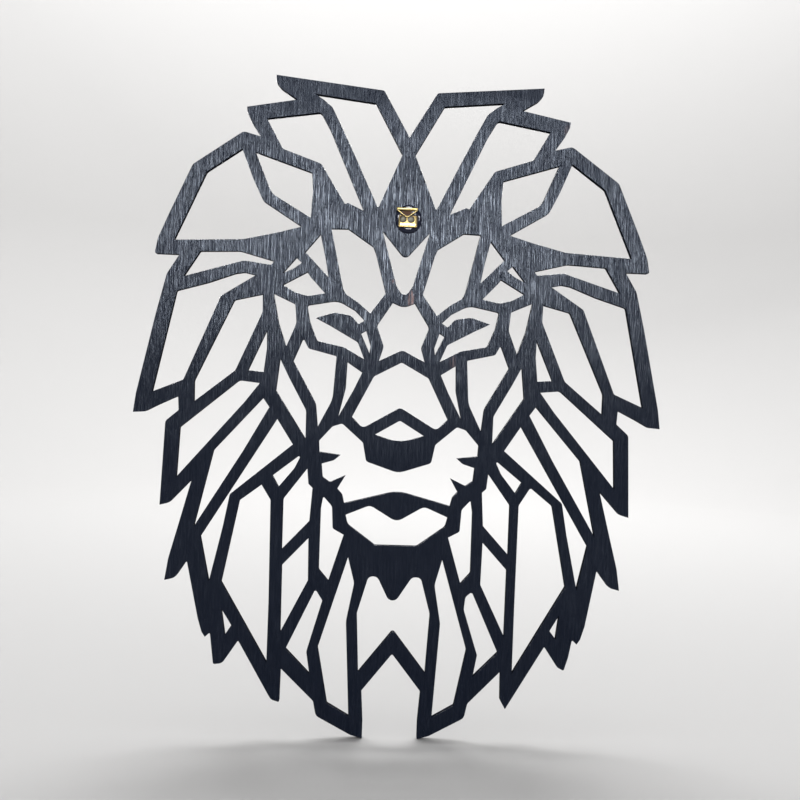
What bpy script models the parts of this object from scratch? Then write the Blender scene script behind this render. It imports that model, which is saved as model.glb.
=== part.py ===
# Lion head wall panel: one flat sheet of dark stained wood, cut right through
# so that straight faceted bars draw the face and mane, with a small stamped
# hanger set in a low round bed of glue on the back of the forehead.
#
# Frame: metres, +Z up as the panel hangs, +Y out into the room, -Y to the wall.
# The origin is the middle of the underside of the hanger's top bar.

import math

import bmesh
import bpy
from mathutils import Vector
from mathutils.geometry import delaunay_2d_cdt

MM = 0.001

# Sheet
SHEET_THICK = 4.0
BACK_Y = 3.4              # the sheet's back face stands this far off the bar's middle
ARC_SAG = 0.08            # most that a chord may stand off a rounded corner
ARC_STEP = 50.0           # most that a chord may turn, in degrees

# Hanger: a flat top bar on two slanted arms, which meet the plate's middle web
BAR_W = 16.2
BAR_H = 2.3
LOOP_T = 0.9
ARM_W = 1.2
ARM_APEX_Z = -5.0
PLATE_X = 0.7
PLATE_W = 13.8
PLATE_TOP_Z = -3.6
PLATE_LOW_Z = -12.0
PLATE_Y = (0.2, 0.8)
HOLE_R = 2.6
HOLE_DX = 3.05
HOLE_Z = -6.3
LIP_H = 1.7
LIP_Y = -0.25

# Glue bed: a low round dome, flattened where the plate was pressed in
PAD_X = 1.3
PAD_Z = -6.1
PAD_RX = 10.3
PAD_RZ = 11.1
PAD_Y = (1.1, 3.1)
PAD_RINGS = ((1.0, 0.0), (0.97, 0.45), (0.88, 0.8), (0.72, 1.0))
PAD_SIDES = 36

# Every corner is (x, z) or (x, z, rounding radius) in millimetres, for the
# half of the sheet on the +X side.  The other half is its mirror image.

OUTLINE = [
    ("parting", [(0.0, 56.5)]),
    ("horn", [(20.4, 91.2, 2.0), (102.4, 99.0), (101.8, 93.0, 5.0), (98.0, 88.6, 6.0), (86.0, 81.0)]),
    ("second_horn", [(123.6, 73.8), (123.0, 69.5, 4.0), (119.0, 61.5, 6.0), (112.4, 51.8)]),
    ("ear", [(125.5, 55.2, 5.0), (162.6, 28.6, 5.0), (179.3, -10.0, 20.0), (186.6, -28.0, 10.0),
             (188.8, -39.9, 1.5), (170.3, -39.9)]),
    ("mane_side", [(179.2, -54.6, 6.0), (186.4, -85.0), (199.0, -145.0, 20.0)]),
    ("mane_tip_1", [(200.8, -159.4), (192.0, -158.8, 8.0), (181.5, -153.2, 12.0), (167.6, -146.4, 0.6),
                    (166.9, -156.8, 0.8)]),
    ("mane_tip_2", [(176.5, -165.2, 4.0), (178.7, -228.5), (171.5, -226.6, 6.0), (155.5, -209.2)]),
    ("mane_tip_3", [(165.0, -246.0), (170.8, -268.0, 10.0), (173.3, -284.9), (165.4, -283.0, 7.0),
                    (155.3, -269.8, 0.6)]),
    ("mane_tip_4", [(147.4, -313.0, 8.0), (144.2, -323.2, 2.0), (141.6, -327.0), (137.9, -323.6, 0.6)]),
    ("mane_tip_5", [(135.4, -337.0, 4.0), (132.2, -347.4, 1.0), (127.2, -344.8, 3.0), (116.6, -329.2, 0.6)]),
    ("beard_tip", [(87.8, -377.6), (83.7, -370.5, 3.0), (83.3, -348.8)]),
    ("foot", [(58.8, -373.8, 3.0), (56.4, -385.0, 5.0), (30.0, -399.0, 6.0), (20.8, -401.6, 0.6),
              (20.8, -388.0, 8.0), (22.4, -365.2, 1.0)]),
    ("fork", [(0.0, -337.0, 1.0)]),
]

# Windows that lie wholly in one half.
WINDOWS = {
    "horn_gap": [(26.2, 81.1), (72.6, 86.0), (66.0, 81.9), (59.3, 76.6, 4.0), (52.0, 62.6), (40.7, 40.0),
                 (22.2, 1.6, 0.6), (4.9, 43.0)],
    "second_horn_gap": [(67.6, 72.2, 3.0), (108.2, 65.6), (98.0, 47.5), (95.6, 43.3, 3.0),
                        (66.2, 33.3, 4.0), (47.4, 3.6), (45.2, 4.6), (32.9, -1.0), (60.0, 59.0)],
    "ear_fold": [(73.0, 26.2), (115.8, 39.9), (104.8, 13.5), (101.8, 8.6, 5.0), (73.0, -7.9), (72.0, 12.0)],
    "ear_bowl": [(126.0, 41.8), (152.0, 23.2, 3.0), (174.6, -28.9), (123.0, -26.3, 8.0), (98.0, -20.3),
                 (79.4, -15.0), (109.0, 3.2, 6.0), (117.0, 19.5), (122.5, 33.0)],
    "brow_long": [(24.7, -28.0), (44.2, -15.2), (56.9, -15.5), (46.6, -60.5, 2.0), (44.3, -64.8, 2.0),
                  (35.0, -70.6), (25.4, -78.6), (14.2, -63.0, 1.5), (22.4, -33.5)],
    "brow_wedge": [(65.0, -20.2), (76.0, -34.0), (58.0, -52.4), (60.6, -38.5)],
    "brow_nick": [(82.5, -38.5), (92.8, -51.0), (84.0, -46.6), (78.4, -42.2)],
    "brow_slit": [(74.0, -49.2), (92.0, -59.5), (83.0, -64.8, 6.0), (73.0, -67.4, 10.0), (60.0, -64.7),
                  (71.5, -52.5)],
    "temple": [(98.7, -66.5), (82.3, -73.8, 1.5), (80.9, -88.0, 8.0), (88.1, -106.2),
               (94.2, -88.5, 8.0)],
    "eye": [(29.5, -84.2), (33.9, -87.1), (39.6, -81.0, 3.0), (52.0, -78.9, 10.0), (66.4, -83.6),
            (55.0, -89.3), (34.2, -100.7, 3.0), (28.8, -113.6), (44.5, -105.0, 10.0), (64.8, -101.0, 3.0),
            (70.6, -87.0, 6.0), (73.2, -74.4, 1.5), (50.0, -69.9, 14.0), (37.0, -77.0)],
    "tear": [(28.0, -92.0), (31.8, -94.2), (25.0, -108.8), (24.3, -103.5)],
    "cheek_wedge": [(30.0, -123.8), (41.4, -116.4), (42.0, -136.0, 10.0), (46.9, -157.6),
                    (36.0, -137.0)],
    "cheek_wide": [(49.8, -112.0, 1.0), (71.2, -106.9, 2.0), (75.3, -99.4, 0.8), (82.3, -116.9, 1.0),
                   (64.2, -148.5, 10.0), (62.3, -166.0), (51.8, -145.0, 20.0)],
    "cheek_long": [(92.2, -115.6), (94.6, -139.6), (71.2, -175.4), (71.4, -154.0, 6.0), (85.0, -129.6)],
    "mane_a": [(99.3, -42.0), (125.0, -35.4, 10.0), (154.8, -36.8, 1.0), (166.6, -56.0),
               (122.0, -42.3, 10.0), (101.5, -44.8)],
    "mane_b": [(112.7, -53.1), (121.0, -51.4, 6.0), (128.0, -52.6, 8.0), (148.0, -60.2),
               (171.3, -67.2, 1.5), (187.1, -143.5), (164.2, -133.8, 2.0), (138.2, -69.6, 4.0)],
    "mane_c": [(107.0, -67.4), (128.0, -72.6, 2.0), (156.0, -134.5, 6.0), (155.7, -149.9),
               (125.6, -125.4, 5.0), (106.6, -80.5, 6.0)],
    "mane_sliver": [(102.9, -94.6), (116.0, -125.0), (104.4, -126.0), (102.5, -108.0)],
    "mane_d": [(107.0, -134.5), (122.3, -133.0, 4.0), (165.5, -169.8, 1.0), (167.0, -207.0),
               (118.0, -149.2)],
    "mane_e": [(104.0, -145.6), (139.8, -186.2, 3.0), (152.8, -244.2), (118.0, -186.4),
               (99.2, -152.4)],
    "mane_f": [(93.0, -161.0), (147.5, -251.4), (140.1, -285.2),
               (130.9, -243.0), (126.6, -218.9, 3.0), (80.6, -180.0)],
    "jaw_lens": [(73.5, -186.9, 0.8), (95.0, -204.0), (90.3, -212.3), (78.8, -198.0, 6.0)],
    "jaw_long": [(69.0, -198.0), (86.4, -221.6, 3.0), (86.2, -259.4), (66.2, -237.8, 1.0),
                 (64.6, -212.5), (67.8, -209.4)],
    "jaw_hook": [(56.3, -218.4, 0.8), (57.8, -228.0), (57.8, -274.0, 3.0), (50.4, -282.5),
                 (39.8, -247.4), (48.4, -242.8, 2.0), (49.4, -226.0, 4.0)],
    "beard_tall": [(101.8, -207.6, 1.5), (119.2, -221.4, 2.0), (131.3, -283.2), (92.2, -350.4),
                   (92.4, -300.0), (93.2, -221.5, 3.0)],
    "beard_mid": [(66.4, -250.7), (85.7, -271.5, 2.0), (85.2, -322.0), (65.7, -282.8, 3.0)],
    "beard_kite": [(59.4, -288.4, 1.5), (80.7, -334.6, 0.6), (62.1, -353.4), (65.0, -336.6, 3.0),
                   (53.6, -302.0, 8.0), (54.6, -292.4, 4.0)],
    "beard_chip": [(127.4, -304.8), (125.2, -323.2), (120.3, -317.0)],
    "chin_tall": [(35.9, -264.4), (56.6, -333.0, 5.0), (48.2, -375.4, 1.5), (31.7, -384.9),
                  (35.9, -313.0, 16.0), (30.6, -284.0, 10.0)],
}

# Windows that cross the middle of the face: the +X half, top to bottom.
MIDDLE_WINDOWS = {
    "forehead_gap": [(0.0, -36.7, 4.0), (18.1, -15.4), (14.2, -29.0), (6.2, -57.0, 4.0), (0.0, -66.2, 5.0)],
    "bridge_gap": [(0.0, -73.4, 10.0), (8.4, -69.8), (20.0, -88.0, 4.0), (14.2, -103.5, 5.0),
                   (17.5, -114.4), (0.0, -105.6, 5.0)],
    "nose_gap": [(0.0, -115.0, 2.0), (20.9, -126.4, 3.0), (36.5, -157.6), (28.2, -166.0, 4.0),
                 (0.0, -149.4, 4.0)],
    "nostril_gap": [(0.0, -159.4, 2.0), (18.6, -170.6), (0.0, -176.4, 40.0)],
    "whisker_gap": [(0.0, -199.4, 14.0), (24.8, -191.2, 3.0), (27.6, -177.0, 3.0), (43.8, -163.0, 2.0),
                    (51.0, -165.4, 3.0), (60.9, -176.6, 1.0), (60.4, -184.9), (44.3, -186.9),
                    (49.0, -191.0, 4.0), (58.4, -193.9), (57.3, -203.9, 1.0), (51.8, -207.8, 1.5),
                    (39.9, -202.2), (45.9, -212.6), (42.0, -216.8, 4.0), (40.4, -223.4), (0.0, -212.8, 30.0)],
    "mouth_gap": [(0.0, -236.6, 8.0), (20.6, -224.4, 6.0), (39.0, -232.2, 0.8), (37.2, -239.2, 5.0),
                  (16.0, -254.6, 3.0), (0.0, -254.6)],
    "chin_gap": [(-1.6, -301.4, 5.0), (13.3, -278.3, 4.5), (19.9, -278.5, 4.0), (27.8, -306.5, 8.0),
                 (25.4, -351.0), (0.0, -318.8, 2.0)],
}

# Cut a little differently on the -X side (x still counted outwards).
LEFT_WINDOWS = {
    "beard_tall": [(103.0, -211.2), (119.2, -223.6, 1.5), (130.8, -285.2), (94.9, -345.4),
                   (94.8, -300.0), (95.9, -222.4, 2.0)],
    "beard_kite": [(59.8, -289.2, 1.0), (80.8, -334.7, 0.6), (62.3, -353.4), (65.1, -336.6, 3.0),
                   (54.3, -297.6, 1.5)],
    "beard_chip": [(130.1, -305.2), (126.8, -325.2), (122.1, -317.8)],
}
LEFT_OUTLINE = {
    "mane_tip_3": [(165.0, -246.0), (170.8, -268.0, 10.0), (173.3, -284.9), (165.4, -283.0, 7.0),
                   (157.0, -269.8, 0.6)],
    "mane_tip_5": [(134.8, -347.4, 1.2), (128.0, -346.6, 5.0), (116.6, -329.2, 0.6)],
    "beard_tip": [(93.0, -369.4, 4.0), (90.6, -373.2, 3.0), (84.3, -375.2, 0.8), (84.0, -349.6)],
}


def clear_scene():
    """Take away every object that the file opened with."""
    for obj in list(bpy.data.objects):
        bpy.data.objects.remove(obj, do_unlink=True)


def material(name, rgb, rough, metal):
    """A plain surface of one colour."""
    mat = bpy.data.materials.new(name)
    mat.use_nodes = True
    shader = mat.node_tree.nodes["Principled BSDF"]
    shader.inputs["Base Color"].default_value = (rgb[0], rgb[1], rgb[2], 1.0)
    shader.inputs["Roughness"].default_value = rough
    shader.inputs["Metallic"].default_value = metal
    mat.diffuse_color = (rgb[0], rgb[1], rgb[2], 1.0)
    return mat


def rounded(corners):
    """Closed corner list to closed point list.

    Each corner with a radius becomes an arc that touches both of its sides;
    the radius gives way where a side is too short for it.
    """
    points = []
    count = len(corners)
    for i in range(count):
        here = Vector(corners[i][:2])
        if len(corners[i]) < 3:
            points.append(here)
            continue
        radius = corners[i][2]
        back = Vector(corners[i - 1][:2]) - here
        ahead = Vector(corners[(i + 1) % count][:2]) - here
        room = 0.48 * min(back.length, ahead.length)
        back.normalize()
        ahead.normalize()
        inner = back.angle(ahead)
        turn = math.pi - inner
        tangent = min(radius / math.tan(inner / 2.0), room)
        radius = tangent * math.tan(inner / 2.0)
        centre = here + (back + ahead).normalized() * (radius / math.sin(inner / 2.0))
        chord = min(2.0 * math.acos(max(0.0, 1.0 - ARC_SAG / radius)), math.radians(ARC_STEP))
        steps = max(1, math.ceil(turn / chord))
        start = here + back * tangent - centre
        side = 1.0 if back.x * ahead.y - back.y * ahead.x < 0.0 else -1.0
        for k in range(steps + 1):
            angle = side * turn * k / steps
            c = math.cos(angle)
            s = math.sin(angle)
            points.append(centre + Vector((start.x * c - start.y * s, start.x * s + start.y * c)))
    return points


def mirrored(corners):
    """The same corners on the other side of the middle line, in turned order."""
    return [(-c[0],) + tuple(c[1:]) for c in reversed(corners)]


def sheet_loops():
    """The outline first, then every window, as closed point lists."""
    right = []
    left = []
    for name, corners in OUTLINE:
        right += corners
        left += LEFT_OUTLINE.get(name, corners)
    loops = [rounded(right + mirrored(left[1:-1]))]
    for name, corners in WINDOWS.items():
        loops.append(rounded(corners))
        loops.append(rounded(mirrored(LEFT_WINDOWS.get(name, corners))))
    for name, corners in MIDDLE_WINDOWS.items():
        loops.append(rounded(corners + mirrored(corners[1:-1])))
    return loops


def inside(point, loop):
    """True when the point is within the closed loop."""
    hit = False
    for a, b in zip(loop, loop[1:] + loop[:1]):
        if (a.y > point.y) != (b.y > point.y):
            if point.x < a.x + (point.y - a.y) * (b.x - a.x) / (b.y - a.y):
                hit = not hit
    return hit


def slab(name, loops, y_low, y_high, mat):
    """A flat plate between two depths, bounded by the first loop and pierced by the rest."""
    flat = []
    edges = []
    for loop in loops:
        first = len(flat)
        flat += loop
        edges += [(first + k, first + (k + 1) % len(loop)) for k in range(len(loop))]
    done = delaunay_2d_cdt(flat, edges, [], 0, 1e-6)
    verts = done[0]
    faces = []
    for tri in done[2]:
        mid = (verts[tri[0]] + verts[tri[1]] + verts[tri[2]]) / 3.0
        if inside(mid, loops[0]) and not any(inside(mid, hole) for hole in loops[1:]):
            faces.append(tri)
    mesh = bpy.data.meshes.new(name)
    bm = bmesh.new()
    low = [bm.verts.new((v.x * MM, y_low * MM, v.y * MM)) for v in verts]
    high = [bm.verts.new((v.x * MM, y_high * MM, v.y * MM)) for v in verts]
    count = {}
    for tri in faces:
        bm.faces.new([low[i] for i in tri])
        bm.faces.new([high[i] for i in reversed(tri)])
        for a, b in zip(tri, tri[1:] + tri[:1]):
            count[(a, b)] = True
    for a, b in count:
        if (b, a) not in count:
            bm.faces.new((low[b], low[a], high[a], high[b]))
    loose = [v for v in bm.verts if not v.link_faces]
    bmesh.ops.delete(bm, geom=loose, context="VERTS")
    bmesh.ops.triangulate(bm, faces=[f for f in bm.faces if len(f.verts) > 3])
    bmesh.ops.recalc_face_normals(bm, faces=bm.faces)
    bm.to_mesh(mesh)
    bm.free()
    mesh.materials.append(mat)
    obj = bpy.data.objects.new(name, mesh)
    bpy.context.scene.collection.objects.link(obj)
    return obj


def disc(cx, cz, rx, rz, sides, turn=0.0):
    """A closed ring of points on an ellipse."""
    ring = []
    for k in range(sides):
        angle = 2.0 * math.pi * (k + turn) / sides
        ring.append(Vector((cx + rx * math.cos(angle), cz + rz * math.sin(angle))))
    return ring


def corners_to_loop(*corners):
    """Plain corner pairs to a closed point list."""
    return [Vector(c) for c in corners]


def hanger_loop():
    """Top bar and arms as one outline, with the three-cornered opening between them."""
    half = BAR_W / 2.0
    low = ARM_APEX_Z
    outline = corners_to_loop((-half, BAR_H), (half, BAR_H), (half, -0.2), (ARM_W * 0.5, low - 0.9),
                              (-ARM_W * 0.5, low - 0.9), (-half, -0.2))
    opening = corners_to_loop((-half + 1.9, 0.0), (half - 1.9, 0.0), (0.0, low + 1.0))
    return [outline, opening]


def hanger_plate():
    """Plate outline with its two round holes."""
    left = PLATE_X - PLATE_W / 2.0
    right = PLATE_X + PLATE_W / 2.0
    outline = corners_to_loop((left, PLATE_TOP_Z), (right, PLATE_TOP_Z), (right, PLATE_LOW_Z),
                              (left, PLATE_LOW_Z))
    holes = [disc(side * HOLE_DX, HOLE_Z, HOLE_R, HOLE_R, 20, 0.5) for side in (-1.0, 1.0)]
    return [outline] + holes


def join(target, tool):
    """Weld the tool's body into the target."""
    step = target.modifiers.new("weld_" + tool.name, "BOOLEAN")
    step.operation = "UNION"
    step.solver = "EXACT"
    step.object = tool
    tool.hide_render = True
    tool.display_type = "WIRE"


def dome(name, mat):
    """The glue bed: stacked rings from the rim at the sheet to the flat top."""
    bm = bmesh.new()
    rings = []
    for scale, rise in PAD_RINGS:
        y = PAD_Y[1] + (PAD_Y[0] - PAD_Y[1]) * rise
        ring = disc(PAD_X, PAD_Z, PAD_RX * scale, PAD_RZ * scale, PAD_SIDES)
        rings.append([bm.verts.new((p.x * MM, y * MM, p.y * MM)) for p in ring])
    for low, high in zip(rings, rings[1:]):
        for k in range(PAD_SIDES):
            nxt = (k + 1) % PAD_SIDES
            bm.faces.new((low[k], low[nxt], high[nxt], high[k]))
    bm.faces.new(rings[0])
    bm.faces.new(rings[-1])
    bmesh.ops.triangulate(bm, faces=bm.faces)
    bmesh.ops.recalc_face_normals(bm, faces=bm.faces)
    mesh = bpy.data.meshes.new(name)
    bm.to_mesh(mesh)
    bm.free()
    mesh.materials.append(mat)
    obj = bpy.data.objects.new(name, mesh)
    bpy.context.scene.collection.objects.link(obj)
    return obj


clear_scene()
stain = material("stained_wood", (0.045, 0.060, 0.085), 0.42, 0.0)
brass = material("brass_plate", (0.80, 0.60, 0.22), 0.22, 1.0)
glue = material("dark_glue", (0.010, 0.012, 0.020), 0.08, 0.0)

slab("lion_panel", sheet_loops(), BACK_Y, BACK_Y + SHEET_THICK, stain)

hanger = slab("hanger", hanger_loop(), -LOOP_T / 2.0, LOOP_T / 2.0, brass)
plate = slab("hanger_plate_body", hanger_plate(), PLATE_Y[0], PLATE_Y[1], brass)
lip_left = PLATE_X - PLATE_W / 2.0
lip_right = PLATE_X + PLATE_W / 2.0
lip_loop = corners_to_loop((lip_left, PLATE_LOW_Z + LIP_H), (lip_right, PLATE_LOW_Z + LIP_H),
                           (lip_right, PLATE_LOW_Z), (lip_left, PLATE_LOW_Z))
lip = slab("hanger_lip_body", [lip_loop], LIP_Y, PLATE_Y[1], brass)
join(hanger, plate)
join(hanger, lip)

dome("glue_pad", glue)
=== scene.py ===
import math

import bpy
import numpy as np
from mathutils import Matrix, Vector
from mathutils.geometry import delaunay_2d_cdt


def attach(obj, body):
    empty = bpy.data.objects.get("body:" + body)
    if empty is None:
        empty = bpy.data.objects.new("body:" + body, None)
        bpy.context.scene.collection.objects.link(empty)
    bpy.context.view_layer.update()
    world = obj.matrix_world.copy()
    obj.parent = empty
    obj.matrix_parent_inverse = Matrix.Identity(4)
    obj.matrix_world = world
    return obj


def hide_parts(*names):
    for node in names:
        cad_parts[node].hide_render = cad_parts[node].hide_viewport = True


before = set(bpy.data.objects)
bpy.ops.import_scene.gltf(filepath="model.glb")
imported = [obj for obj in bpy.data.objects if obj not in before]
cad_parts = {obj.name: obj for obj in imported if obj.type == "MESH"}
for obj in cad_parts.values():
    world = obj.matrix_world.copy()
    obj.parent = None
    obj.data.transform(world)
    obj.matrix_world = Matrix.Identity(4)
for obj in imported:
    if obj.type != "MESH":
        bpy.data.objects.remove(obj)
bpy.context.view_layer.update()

# Viewpoint.  The panel is seen from the wall side, square on and close by,
# from a little left of its middle line and level with the bridge of the nose.
VIEW_SPOT = (-0.0271, -0.6048, -0.1445)
VIEW_TURN = -2.5
VIEW_TILT = 0.08
VIEW_ROLL = 1.955
VIEW_LENS = 36.0
VIEW_SENSOR = 36.0
VIEW_NEAREST = 0.01
VIEW_FURTHEST = 50.0

camera_data = bpy.data.cameras.new("viewpoint")
camera_data.lens = VIEW_LENS
camera_data.sensor_width = VIEW_SENSOR
camera_data.clip_start = VIEW_NEAREST
camera_data.clip_end = VIEW_FURTHEST
camera = bpy.data.objects.new("viewpoint", camera_data)
bpy.context.scene.collection.objects.link(camera)
aim = Matrix.Rotation(math.radians(VIEW_TURN), 4, "Z")
aim = aim @ Matrix.Rotation(math.radians(90.0 + VIEW_TILT), 4, "X")
aim = aim @ Matrix.Rotation(math.radians(VIEW_ROLL), 4, "Z")
camera.matrix_world = Matrix.Translation(Vector(VIEW_SPOT)) @ aim
bpy.context.scene.camera = camera

# Sheet.  One piece of 4 mm veneered wood, cut through by a laser, sanded and
# stained blue-black, with a thin satin coat.  Its cut walls are charred dark,
# and each edge of its two faces is rubbed very slightly round.
MM = 0.001
ARRIS = 0.22 * MM
ARRIS_STEPS = 3
MITRE_MOST = 1.7
MITRE_LEAST_TURN = 0.05
FACE_ON = 0.9
MERGE_STEP = 0.001 * MM
TWIN_STEP = 0.01 * MM
TWIN_STRIDE = 10000000
STAIN_DEEP = (0.0017, 0.0026, 0.0055)
STAIN_THIN = (0.0030, 0.0041, 0.0078)
STAIN_WORN = (0.1900, 0.1100, 0.0900)
CHAR = (0.0045, 0.0048, 0.0062)
# Layers of the grain: cells per metre across it, cells per metre along it, detail.
STRANDS = (210.0, 5.0, 2.0)
FIBRES = (1500.0, 42.0, 2.0)
PORES = (2700.0, 130.0, 1.0)
# Noise level at which each layer starts and is full.
STRAND_RANGE = (0.36, 0.66)
FIBRE_RANGE = (0.35, 0.63)
PORE_RANGE = (0.38, 0.54)
WORN_RANGE = (0.46, 0.54)
# Share of the stain's tone that strands carry, then the shares of gloss and depth that each layer carries.
STRAND_TINT = 0.35
STRAND_GLOSS = 0.25
PORE_GLOSS = 0.50
PORE_DEPTH = 0.35
GRAIN_DEPTH = 0.13 * MM
WARP_CELLS = (14.0, 14.0, 30.0)
WARP_DEPTH = 0.6 * MM
COAT_DULL = (0.22, 0.25, 0.31)
COAT_BRIGHT = (0.77, 0.86, 1.0)
COAT_LEVEL = 0.27
COAT_ROUGH = 0.27
COAT_SMOOTHING = 0.05
# Painted shade on the reflection, in two bands by height: over the lower half, and a little at the horns,
# the gloss is drawn towards a low level and the grain's relief is flattened:
# height where it starts, height where it is full, share of the grain evened out, gloss of that share.
SHADED_GLOSS_BANDS = (
    (-90.0 * MM, -190.0 * MM, 0.42, 0.10),
    (25.0 * MM, 85.0 * MM, 0.42, 0.0),
)
# Spots on the wall face where the stain is rubbed through: x, z, reach in x, reach in z, strength.
SPOT_CORE = 0.35
WORN_FACE_Y = 3.4 * MM
WORN_DEPTH = 2.0 * MM
WORN_SPOTS = (
    (5.1 * MM, -66.5 * MM, 3.0 * MM, 8.0 * MM, 0.95),
    (-9.2 * MM, -53.5 * MM, 1.4 * MM, 2.2 * MM, 0.35),
    (121.4 * MM, 67.0 * MM, 3.6 * MM, 7.0 * MM, 0.12),
    (39.2 * MM, -113.8 * MM, 4.2 * MM, 7.5 * MM, 0.16),
)
RIPPLE_CELLS = (2200.0, 90.0, 2200.0)
RIPPLE_RANGE = (0.35, 0.70)
RIPPLE_DEPTH = 0.06 * MM
RIPPLE_STRENGTH = 0.6
CHAR_ROUGH = 0.62


def sheet_rim(points, tris):
    """Corner numbers of each boundary edge of a flat set of triangles, turned the way they turn.

    A boundary edge is one that only one triangle has: edges are written as
    number pairs, and a pair whose reverse is nowhere in the list is kept.
    """
    pairs = np.concatenate([tris[:, [0, 1]], tris[:, [1, 2]], tris[:, [2, 0]]])
    key = pairs[:, 0].astype(np.int64) * len(points) + pairs[:, 1]
    back = pairs[:, 1].astype(np.int64) * len(points) + pairs[:, 0]
    return pairs[~np.isin(key, back)]


def inward_step(points, rim):
    """For each rim corner, the step in the face's plane that keeps one unit off both of its edges.

    The two edge normals that point into the wood are added, and their sum is
    divided by one plus their dot product; its length is held under MITRE_MOST.
    """
    count = len(points)
    ahead = np.full(count, -1)
    behind = np.full(count, -1)
    ahead[rim[:, 0]] = rim[:, 1]
    behind[rim[:, 1]] = rim[:, 0]
    at = rim[:, 0]
    flat = points[:, [0, 2]]
    run_out = flat[ahead[at]] - flat[at]
    run_in = flat[at] - flat[behind[at]]
    run_out /= np.linalg.norm(run_out, axis=1, keepdims=True)
    run_in /= np.linalg.norm(run_in, axis=1, keepdims=True)
    side_out = np.stack([-run_out[:, 1], run_out[:, 0]], axis=1)
    side_in = np.stack([-run_in[:, 1], run_in[:, 0]], axis=1)
    total = side_out + side_in
    total /= np.maximum(1.0 + np.sum(side_out * side_in, axis=1, keepdims=True), MITRE_LEAST_TURN)
    length = np.linalg.norm(total, axis=1, keepdims=True)
    total *= np.minimum(1.0, MITRE_MOST / np.maximum(length, 1e-9))
    step = np.zeros((count, 2))
    step[at] = total
    return step


def dressed_sheet(source):
    """The sheet with a rounded arris along each edge of both faces.

    The flat triangles of each face are kept, with their rim corners stepped
    into the wood by the arris radius.  Rings of a quarter circle join each
    face to the wall: a ring at angle a lies radius times (1 - cos a) into the
    face and radius times (1 - sin a) under it.
    """
    count = len(source.vertices)
    loose = np.empty(count * 3)
    source.vertices.foreach_get("co", loose)
    loose = loose.reshape(-1, 3)
    tris = np.empty(len(source.loop_triangles) * 3, dtype=np.int32)
    source.loop_triangles.foreach_get("vertices", tris)
    tris = tris.reshape(-1, 3)
    merged, number = np.unique(np.round(loose / MERGE_STEP).astype(np.int64), axis=0, return_inverse=True)
    points = merged * MERGE_STEP
    tris = number.reshape(-1)[tris]
    across = np.cross(points[tris[:, 1]] - points[tris[:, 0]], points[tris[:, 2]] - points[tris[:, 0]])
    across /= np.maximum(np.linalg.norm(across, axis=1, keepdims=True), 1e-20)

    verts = [points]
    faces = []
    marks = []
    total = len(points)
    walls = {}
    for sign in (-1.0, 1.0):
        own = tris[across[:, 1] * sign > FACE_ON]
        rim = sheet_rim(points, own)
        step = inward_step(points * np.array([1.0, 1.0, -sign]), rim) * np.array([1.0, -sign])
        at = rim[:, 0]
        rings = []
        for k in range(ARRIS_STEPS + 1):
            angle = 0.5 * math.pi * k / ARRIS_STEPS
            ring = points.copy()
            ring[:, [0, 2]] += step * ARRIS * (1.0 - math.cos(angle))
            ring[:, 1] -= sign * ARRIS * (1.0 - math.sin(angle))
            rings.append(ring)
        numbers = []
        for ring in rings:
            place = np.full(len(points), -1)
            place[at] = total + np.arange(len(at))
            verts.append(ring[at])
            numbers.append(place)
            total += len(at)
        inner = numbers[-1]
        keep = np.where(inner[own] >= 0, inner[own], own)
        faces.append(np.column_stack([keep, keep[:, 2]]))
        marks.append(np.zeros(len(keep), dtype=np.int32))
        for low, high in zip(numbers, numbers[1:]):
            band = np.column_stack([low[rim[:, 0]], low[rim[:, 1]], high[rim[:, 1]], high[rim[:, 0]]])
            faces.append(band)
            marks.append(np.zeros(len(band), dtype=np.int32))
        walls[sign] = (rim, numbers[0])

    # The wall joins the two outermost rings; each corner has its twin straight through the sheet.
    rim, near = walls[-1.0]
    far_rim, far = walls[1.0]
    flat_key = np.round(points[:, [0, 2]] / TWIN_STEP).astype(np.int64)
    code = flat_key[:, 0] * TWIN_STRIDE + flat_key[:, 1]
    far_ids = np.unique(far_rim)
    order = np.argsort(code[far_ids])
    sorted_ids = far_ids[order]
    spot = np.searchsorted(code[sorted_ids], code[rim])
    twin = sorted_ids[np.clip(spot, 0, len(sorted_ids) - 1)]
    wall = np.column_stack([near[rim[:, 1]], near[rim[:, 0]], far[twin[:, 0]], far[twin[:, 1]]])
    faces.append(wall)
    marks.append(np.ones(len(wall), dtype=np.int32))

    verts = np.concatenate(verts)
    faces = np.concatenate(faces)
    marks = np.concatenate(marks)
    used, compact = np.unique(faces, return_inverse=True)
    faces = compact.reshape(-1, 4)
    three = faces[:, 2] == faces[:, 3]
    mesh = bpy.data.meshes.new("cut_sheet")
    rows = [list(f[:3]) if t else list(f) for f, t in zip(faces.tolist(), three.tolist())]
    mesh.from_pydata(verts[used], [], rows)
    mesh.polygons.foreach_set("material_index", marks)
    mesh.update()
    return mesh


def add_node(tree, kind, **inputs):
    """A shader node with its plain inputs set by name."""
    node = tree.nodes.new(kind)
    for name, value in inputs.items():
        node.inputs[name].default_value = value
    return node


def ramp_between(tree, factor, low, high):
    """A smooth step of the factor from 0 at low to 1 at high."""
    node = tree.nodes.new("ShaderNodeMapRange")
    node.interpolation_type = "SMOOTHSTEP"
    node.inputs["From Min"].default_value = low
    node.inputs["From Max"].default_value = high
    tree.links.new(factor, node.inputs["Value"])
    return node.outputs["Result"]


def blend_colour(tree, factor, first, second):
    """Two colours, each a socket or a plain colour, blended by a factor."""
    node = tree.nodes.new("ShaderNodeMix")
    node.data_type = "RGBA"
    for socket, value in ((node.inputs[0], factor), (node.inputs[6], first), (node.inputs[7], second)):
        if isinstance(value, bpy.types.NodeSocket):
            tree.links.new(value, socket)
        elif isinstance(value, float):
            socket.default_value = value
        else:
            socket.default_value = (value[0], value[1], value[2], 1.0)
    return node.outputs[2]


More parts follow.
